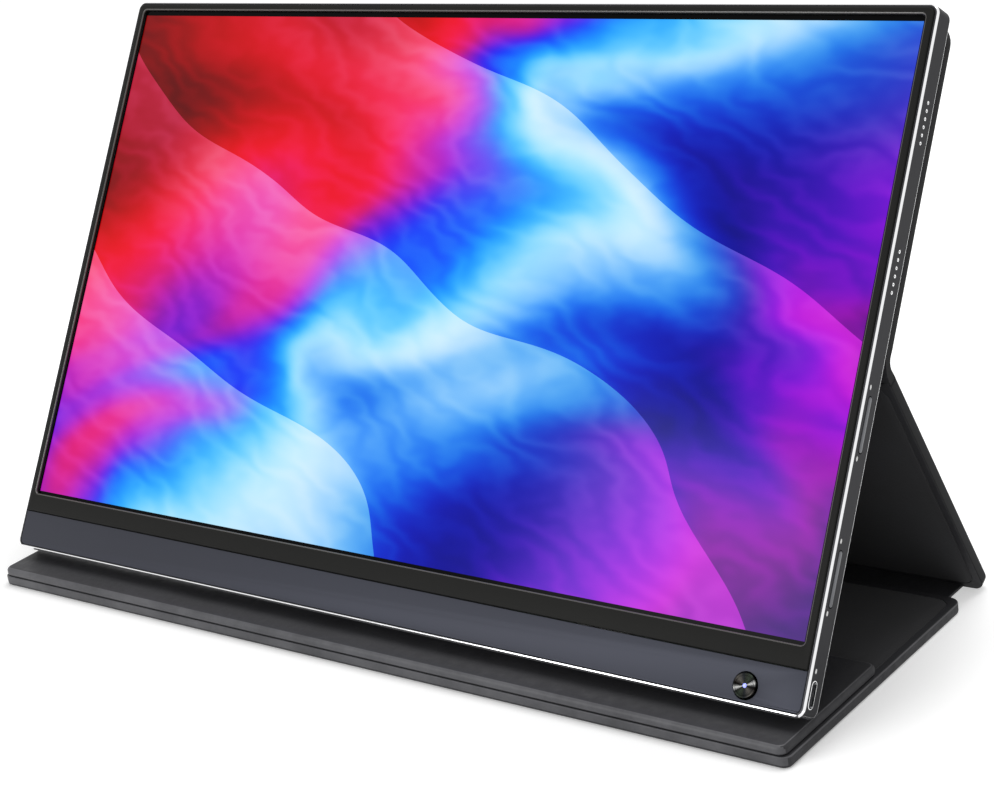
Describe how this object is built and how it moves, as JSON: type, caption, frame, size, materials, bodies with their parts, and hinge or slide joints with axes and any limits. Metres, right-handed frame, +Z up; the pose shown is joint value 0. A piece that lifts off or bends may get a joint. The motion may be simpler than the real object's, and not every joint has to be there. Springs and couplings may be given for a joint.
{
  "type": "portable monitor with cover",
  "caption": "Slim portable monitor leaning in a folding leatherette cover that stands as a triangular easel, with a press knob on its chin and rocker keys and sockets in its sides.",
  "frame": {"origin": "middle of the base panel's underside, on the table", "axes": "+X to the right along the screen, +Y to the back, +Z up; the screen faces -Y"},
  "size_m": [0.3542, 0.1377, 0.2002],
  "materials": {
    "housing_metal": "dark grey anodised aluminium, polished front chamfer",
    "bezel_plastic": "black fine-matt ABS",
    "chin_metal": "blue-grey satin anodised aluminium",
    "screen_glass": "glossy display glass, lit",
    "black_tape": "matt black",
    "white_film": "matt white film",
    "clear_acrylic": "clear acrylic",
    "circuit_board": "green solder mask",
    "tray_steel": "plain steel sheet",
    "port_steel": "bright nickelled steel",
    "knob_metal": "spun bright aluminium",
    "light_lens": "clear lens, lit blue",
    "key_metal": "grey satin aluminium",
    "cell_foil": "foil pouch",
    "cover_skin": "dark grey fine-grained leatherette",
    "cover_board": "grey fibre board",
    "cover_lining": "near-black smooth microfibre",
    "magnet_nickel": "nickelled magnet"
  },
  "bodies": {
    "base": {"base_skin": "cover_skin", "base_board": "cover_board", "base_lining": "cover_lining", "spine_strip": "cover_skin", "front_fold_strip": "cover_skin"},
    "strut": {"strut_skin": "cover_skin", "strut_board": "cover_board", "strut_lining": "cover_lining", "crease_strip": "cover_skin"},
    "back_panel": {"back_skin": "cover_skin", "back_board": "cover_board", "back_lining": "cover_lining", "back_magnets": "magnet_nickel"},
    "flap": {"flap_skin": "cover_skin", "flap_board": "cover_board", "flap_lining": "cover_lining", "flap_magnets": "magnet_nickel"},
    "monitor": {"rear_housing": "housing_metal", "front_bezel": "bezel_plastic", "chin_panel": "chin_metal", "lcd_cell": "screen_glass", "bezel_tape": "black_tape", "optical_films": "white_film", "light_guide": "clear_acrylic", "led_bar": "circuit_board", "back_tray": "tray_steel", "controller_board": "circuit_board", "panel_cable": "white_film", "usb_c_socket": "port_steel", "left_usb_c_socket": "port_steel", "left_hdmi_socket": "port_steel", "left_port_board": "circuit_board", "knob_switch": "black_tape", "key_switches": "port_steel", "key_flex": "circuit_board", "speakers": "bezel_plastic", "battery_cells": "cell_foil", "keeper_plates": "tray_steel"},
    "knob": {"power_knob": "knob_metal", "knob_light": "light_lens"},
    "volume_rocker": {"volume_key": "key_metal"},
    "menu_rocker": {"menu_key": "key_metal"}
  },
  "joints": [
    {"name": "strut_fold", "type": "hinge", "parent": "base", "child": "strut", "pos_m": [0, 0.0764, 0.0008], "axis": [-1, 0, 0], "range_deg": [0, 118.8], "deforming": ["spine_strip"]},
    {"name": "crease_fold", "type": "hinge", "parent": "strut", "child": "back_panel", "pos_m": [0, 0.02041, 0.09966], "axis": [1, 0, 0], "range_deg": [0, 60.81], "deforming": ["crease_strip"]},
    {"name": "flap_fold", "type": "hinge", "parent": "base", "child": "flap", "pos_m": [0, -0.0574, 0.0042], "axis": [1, 0, 0], "range_deg": [0, 136.7], "deforming": ["front_fold_strip"]},
    {"name": "monitor_lift", "type": "slide", "parent": "back_panel", "child": "monitor", "axis": [0, -0.848, 0.5299], "range_m": [0, 0.04]},
    {"name": "knob_press", "type": "slide", "parent": "monitor", "child": "knob", "axis": [0, 0.848, -0.5299], "range_m": [0, 0.0006], "stiffness_N_per_m": 2500},
    {"name": "volume_key_rock", "type": "hinge", "parent": "monitor", "child": "volume_rocker", "pos_m": [0.1748, 0.00366, 0.08701], "axis": [0, -0.848, 0.5299], "range_deg": [-2.5, 2.5], "stiffness_Nm_per_rad": 0.2},
    {"name": "menu_key_rock", "type": "hinge", "parent": "monitor", "child": "menu_rocker", "pos_m": [0.1748, -0.02145, 0.04682], "axis": [0, -0.848, 0.5299], "range_deg": [-2.5, 2.5], "stiffness_Nm_per_rad": 0.2}
  ],
  "couplings": [
    {"joint": "crease_fold", "follows": "strut_fold", "ratio": 0.51186},
    {"joint": "flap_fold", "follows": "strut_fold", "ratio": 1.15}
  ]
}
